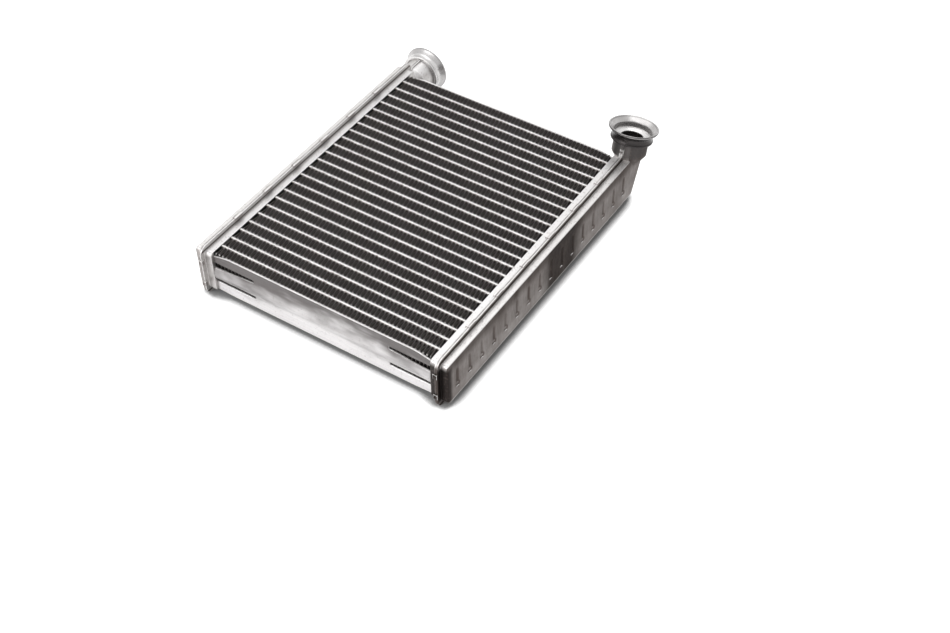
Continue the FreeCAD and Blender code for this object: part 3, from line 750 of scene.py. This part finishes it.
for kind, pieceName, material in (("header", "softTray_", trayMetal), ("tank", "softTank_", tankMetal)):
    for side in ("left", "right"):
        node = side + "_" + kind
        piece = finishedObject(pieceName + side, softenCopy(node), material, node)
        shadeSoftly(piece, softSettings["smoothAngle"])
        piece.modifiers.new("evenShading", "WEIGHTED_NORMAL").keep_sharp = True
print("tanks made")


# spun hose collars: a rolled lip, a flare, a socket with a ledge and throat, and a bead round the skirt
collarSettings = {
    "steps": 96,
    "merge": 0.002 * mm,
    "smoothAngle": 40,
    # radius and depth below the rim in mm, from the lip round the outside and back up the bore
    "profile": [
        (13.25, 0.12), (13.42, 0.02), (13.6, 0.0), (13.8, 0.04), (13.94, 0.18), (14.0, 0.4), (14.0, 0.95),
        (13.93, 1.12), (13.7, 1.3), (13.0, 1.95), (12.2, 2.75), (11.7, 3.3), (11.47, 3.75), (11.4, 4.3),
        (11.4, 6.15), (11.5, 6.32), (11.75, 6.42), (11.9, 6.65), (11.9, 7.15), (11.8, 7.38), (11.5, 7.5),
        (10.05, 7.5), (9.87, 7.38), (9.87, 6.62), (6.45, 6.6), (6.32, 6.5), (6.32, 6.0), (6.5, 5.88),
        (10.0, 5.45), (10.24, 5.3), (10.3, 5.0), (10.3, 2.6), (10.38, 2.3), (10.7, 1.98), (11.9, 1.05),
        (12.9, 0.35),
    ],
}


def buildCollar(place):
    build = bmesh.new()
    ring = [build.verts.new((radius * mm, 0, -depth * mm)) for radius, depth in collarSettings["profile"]]
    for start, end in zip(ring, ring[1:] + ring[:1]):
        build.edges.new((start, end))
    bmesh.ops.spin(build, geom=build.verts[:] + build.edges[:], cent=(0, 0, 0), axis=(0, 0, 1),
                   dvec=(0, 0, 0), angle=2 * math.pi, steps=collarSettings["steps"], use_merge=True,
                   use_duplicate=False)
    bmesh.ops.remove_doubles(build, verts=build.verts[:], dist=collarSettings["merge"])
    bmesh.ops.recalc_face_normals(build, faces=build.faces[:])
    turn = Vector(place["axis"]).to_track_quat("Z", "X").to_matrix().to_4x4()
    shift = Matrix.Translation(Vector(place["rim"]) * mm)
    bmesh.ops.transform(build, matrix=shift @ turn, verts=build.verts[:])
    return build


for side, place in collarPlaces.items():
    piece = finishedObject("spunCollar_" + side, buildCollar(place), collarMetals[side],
                           side + "_collar")
    shadeSoftly(piece, collarSettings["smoothAngle"])
print("collars made")


# flat tubes with fully rounded noses
tubeSettings = {"edge": 0.55 * mm, "segments": 3, "smoothAngle": 50}


def buildTube(name):
    build = bmesh.new()
    low, high, middle = boxOf(name)
    bmesh.ops.create_cube(build, size=1)
    bmesh.ops.scale(build, vec=high - low, verts=build.verts[:])
    bmesh.ops.translate(build, vec=middle, verts=build.verts[:])
    lengthwise = [edge for edge in build.edges if abs((edge.verts[0].co - edge.verts[1].co).x) > mm]
    bmesh.ops.bevel(build, geom=lengthwise, offset=tubeSettings["edge"], offset_type="OFFSET",
                    segments=tubeSettings["segments"], profile=0.5, affect="EDGES", material=-1)
    return build


for name in tubeNames:
    piece = finishedObject("round_" + name, buildTube(name), tubeMetal, name)
    shadeSoftly(piece, tubeSettings["smoothAngle"])
print("tubes made")


# side plates: smoothly crowned between flat bands, slit at the ends, with bowed tongues and tapered bands
plateSettings = {
    "sheet": 1.0 * mm,
    "half": boxOf("near_side_plate")[1].x,
    "crownHalf": 4.8 * mm, "crownRise": 1.3 * mm,
    "slitStart": 42.55 * mm, "slitHeight": 2.1 * mm,
    "tongueBow": 0.6 * mm, "tongueDroop": 0.9 * mm,     # the tongues lean out and hang below their upper slit
    "droopRun": 1.5,                                    # a tongue hangs fully 1.5 times sooner than its end
    "taperLength": 9.5 * mm, "taperDrop": 2.0 * mm, "lowerTaperDrop": 0.5 * mm,
    "taperStart": 0.6,                                  # share of the half height where the taper sets in
    "stepAlong": 3.2 * mm, "stepUp": 0.8 * mm,          # mesh steps
    "smoothAngle": 35,
}


def cutAcross(build, place, normal):
    bmesh.ops.bisect_plane(build, geom=build.verts[:] + build.edges[:] + build.faces[:], dist=0.001 * mm,
                           plane_co=place, plane_no=normal)


def alongTongue(across):
    # 0 where a slit starts, 1 at the plate's end
    slitLength = plateSettings["half"] - plateSettings["slitStart"]
    return max((abs(across) - plateSettings["slitStart"]) / slitLength, 0)


def crownAt(across, up):
    share = min(abs(up) / plateSettings["crownHalf"], 1)
    rise = plateSettings["crownRise"] * (0.5 + 0.5 * math.cos(math.pi * share))
    if share < 1:
        rise += plateSettings["tongueBow"] * alongTongue(across) ** 2
    return rise


def taperedTo(across, up, halfHeight):
    # how far a band's outer edge draws in towards the plate's ends
    taperLength, taperStart = plateSettings["taperLength"], plateSettings["taperStart"]
    inEnd = max(abs(across) - (plateSettings["half"] - taperLength), 0) / taperLength
    edgeShare = max(abs(up) / halfHeight - taperStart, 0) / (1 - taperStart)
    drop = plateSettings["taperDrop"] if up > 0 else plateSettings["lowerTaperDrop"]
    return -math.copysign(drop * inEnd * edgeShare, up)


def droopedTo(across, up):
    crownHalf = plateSettings["crownHalf"]
    if not 0 < up <= crownHalf * 1.001:
        return 0
    share = min(alongTongue(across) * plateSettings["droopRun"], 1)
    return -plateSettings["tongueDroop"] * share * share * (3 - 2 * share) * up / crownHalf


def buildPlate(name, side):
    low, high, middle = boxOf(name)
    bandFace = low.y + plateSettings["crownRise"] if side < 0 else high.y - plateSettings["crownRise"]
    halfHeight = (high.z - low.z) / 2
    crownHalf, slitHeight = plateSettings["crownHalf"], plateSettings["slitHeight"]
    slitStart = plateSettings["slitStart"]
    alongX, alongY = Vector((1, 0, 0)), Vector((0, 1, 0))
    build = bmesh.new()
    bmesh.ops.create_grid(build, x_segments=1, y_segments=1, size=0.5)
    bmesh.ops.scale(build, vec=(high.x - low.x, high.z - low.z, 1), verts=build.verts[:])
    for sign in (-1, 1):
        cutAcross(build, alongX * sign * slitStart, alongX)
        cutAcross(build, alongY * sign * crownHalf, alongY)
        cutAcross(build, alongY * sign * (crownHalf + slitHeight), alongY)
    for normal, reach, step in ((alongX, high.x, plateSettings["stepAlong"]),
                                (alongY, halfHeight, plateSettings["stepUp"])):
        count = int(reach / step)
        for number in range(-count, count + 1):
            cutAcross(build, normal * number * step, normal)
    slits = []
    for face in build.faces:
        spot = face.calc_center_median()
        if abs(spot.x) > slitStart and 0 < abs(spot.y) - crownHalf < slitHeight:
            slits.append(face)
    bmesh.ops.delete(build, geom=slits, context="FACES")
    for vert in build.verts:
        across, up = vert.co.x, vert.co.y
        height = middle.z + up + taperedTo(across, up, halfHeight) + droopedTo(across, up)
        vert.co = Vector((across, bandFace + side * crownAt(across, up), height))
    bmesh.ops.recalc_face_normals(build, faces=build.faces[:])
    outward = sum((face.normal * face.calc_area() for face in build.faces), Vector())
    if outward.y * side < 0:
        bmesh.ops.reverse_faces(build, faces=build.faces[:])
    return build


for name, side in (("near_side_plate", -1), ("far_side_plate", 1)):
    piece = finishedObject("pressed_" + name, buildPlate(name, side), plateMetal, name)
    shadeSoftly(piece, plateSettings["smoothAngle"])
    wall = piece.modifiers.new("sheet", "SOLIDIFY")
    wall.thickness = plateSettings["sheet"]
    wall.offset = -1
    wall.use_even_offset = True
    piece.data.materials.append(rimMetal)
    wall.material_offset_rim = 1
print("side plates made")


# dense folded strips between the tubes
finSettings = {
    "legs": 116,
    "sheet": 0.12 * mm,
    "crest": 0.2 * mm,       # half of a fold's flat crest
    "crestRound": 0.25 * mm, "crestLean": 0.1 * mm,
    "overrun": 0.9 * mm,     # the cut ends of the strip stand a little past the solid
    "merge": 0.01 * mm,
}


def vertsIn(geometry):
    return [item for item in geometry if isinstance(item, bmesh.types.BMVert)]


def buildFinStrip():
    low, high, middle = boxOf("fin_01")
    overrun, crest, crestRound = (finSettings[key] for key in ("overrun", "crest", "crestRound"))
    legRun = (high.x - low.x + 2 * overrun) / finSettings["legs"]
    half = (high.y - low.y) / 2 - finSettings["sheet"] / 2
    foot = [(0, -half), (crest, -half), (crest + finSettings["crestLean"], -half + crestRound)]
    line = foot + [(legRun - across, -along) for across, along in reversed(foot)]
    build = bmesh.new()
    first = [build.verts.new((across, along, low.z)) for across, along in line]
    for start, end in zip(first, first[1:]):
        build.edges.new((start, end))
    leg = bmesh.ops.duplicate(build, geom=build.verts[:] + build.edges[:])["geom"]
    bmesh.ops.scale(build, vec=(-1, 1, 1), space=Matrix.Translation((-legRun, 0, 0)), verts=vertsIn(leg))
    pair = build.verts[:] + build.edges[:]
    for step in range(1, finSettings["legs"] // 2):
        copied = bmesh.ops.duplicate(build, geom=pair)["geom"]
        bmesh.ops.translate(build, vec=(step * 2 * legRun, 0, 0), verts=vertsIn(copied))
    bmesh.ops.remove_doubles(build, verts=build.verts[:], dist=finSettings["merge"])
    walls = bmesh.ops.extrude_edge_only(build, edges=build.edges[:])["geom"]
    bmesh.ops.translate(build, vec=(0, 0, high.z - low.z), verts=vertsIn(walls))
    bmesh.ops.translate(build, vec=(low.x - overrun, 0, 0), verts=build.verts[:])
    bmesh.ops.recalc_face_normals(build, faces=build.faces[:])
    return build


strip = buildFinStrip()
for name in namesFrom("fin"):
    build = strip.copy()
    bmesh.ops.translate(build, vec=(0, boxOf(name)[2].y, 0), verts=build.verts[:])
    piece = finishedObject("dense_" + name, build, finMetal, name)
    wall = piece.modifiers.new("sheet", "SOLIDIFY")
    wall.thickness = finSettings["sheet"]
    wall.offset = 0
strip.free()
print("fins made")


# 1 for the rays that show a surface, and 0 for those that only light the part
def seenBy(tree):
    rays = tree.nodes.new("ShaderNodeLightPath")
    seen = mathNode(tree, "MAXIMUM", rays.outputs["Is Camera Ray"], rays.outputs["Is Glossy Ray"])
    return mathNode(tree, "MAXIMUM", seen, rays.outputs["Is Transmission Ray"])


# floor, white where the camera and reflections see it, with the part's soft shadow
floorSettings = {
    "size": 6.0, "shade": colour(0.38, 0.38, 0.38), "roughness": 0.9,
    "lift": 1.05,                                  # its own light where it is seen
    "contact": 0.012, "contactBand": (0.5, 0.74),  # the lift fades where the part stands this close above it
}


def makeFloor():
    build = bmesh.new()
    bmesh.ops.create_grid(build, x_segments=1, y_segments=1, size=floorSettings["size"] / 2)
    floor = placeMesh("floor", build)
    material, tree, shader, place = startMaterial("paleFloor")
    shader.inputs["Base Color"].default_value = floorSettings["shade"]
    shader.inputs["Roughness"].default_value = floorSettings["roughness"]
    closeBy = tree.nodes.new("ShaderNodeAmbientOcclusion")
    closeBy.inputs["Distance"].default_value = floorSettings["contact"]
    openness = maskNode(tree, closeBy.outputs["AO"], *floorSettings["contactBand"])
    tree.links.new(product(tree, seenBy(tree), openness), shader.inputs["Emission Color"])
    shader.inputs["Emission Strength"].default_value = floorSettings["lift"]
    floor.data.materials.append(material)


# an even white room: full strength where it is seen, softer as a light
worldSettings = {"light": 0.5}


def makeWorld():
    world = bpy.data.worlds.new("studio")
    bpy.context.scene.world = world
    world.use_nodes = True
    tree = world.node_tree
    background = tree.nodes["Background"]
    background.inputs["Color"].default_value = colour(1, 1, 1)
    strength = rangeNode(tree, seenBy(tree), 0.0, 1.0, worldSettings["light"], 1.0)
    tree.links.new(strength, background.inputs["Strength"])


lampSettings = [
    {"name": "topSoftbox", "place": (-0.25, 0.28, 1.4), "size": 1.5, "power": 8.5},
    {"name": "frontSoftbox", "place": (-0.5, -1.3, 0.7), "size": 0.9, "power": 10.5},
]


def makeLamp(settings, target):
    light = bpy.data.lights.new(settings["name"], "AREA")
    light.size = settings["size"]
    light.energy = settings["power"]
    lamp = bpy.data.objects.new(settings["name"], light)
    bpy.context.scene.collection.objects.link(lamp)
    lamp.location = settings["place"]
    lamp.rotation_mode = "QUATERNION"
    lamp.rotation_quaternion = (target - lamp.location).to_track_quat("-Z", "Y")


# the photograph's own viewpoint, worked out from the straight lines of the tubes
cameraSettings = {
    "place": (0.3586, -0.5031, 0.5745),
    "azimuth": 33.2975,
    "elevation": 46.0727,
    "roll": -0.5313,
    "focalPixels": 1523.44,
    "imageWidth": 950,
    "sensorWidth": 36,
    "nearClip": 0.01,
}


def makeCamera():
    azimuth, elevation, roll = (math.radians(cameraSettings[key]) for key in ("azimuth", "elevation", "roll"))
    flatReach = math.cos(elevation)
    ahead = Vector((-math.sin(azimuth) * flatReach, math.cos(azimuth) * flatReach, -math.sin(elevation)))
    right = ahead.cross(Vector((0, 0, 1))).normalized()
    up = right.cross(ahead)
    turned = math.cos(roll) * right + math.sin(roll) * up
    upright = math.cos(roll) * up - math.sin(roll) * right
    lens = bpy.data.cameras.new("photoCamera")
    lens.sensor_width = cameraSettings["sensorWidth"]
    lens.lens = lens.sensor_width * cameraSettings["focalPixels"] / cameraSettings["imageWidth"]
    lens.clip_start = cameraSettings["nearClip"]
    camera = bpy.data.objects.new("photoCamera", lens)
    bpy.context.scene.collection.objects.link(camera)
    place = Matrix((turned, upright, -ahead)).transposed().to_4x4()
    place.translation = cameraSettings["place"]
    camera.matrix_world = place
    bpy.context.scene.camera = camera


makeFloor()
makeWorld()
for settings in lampSettings:
    makeLamp(settings, (cadLow + cadHigh) / 2)
makeCamera()
bpy.context.scene.view_settings.view_transform = "Standard"
print("stage made")
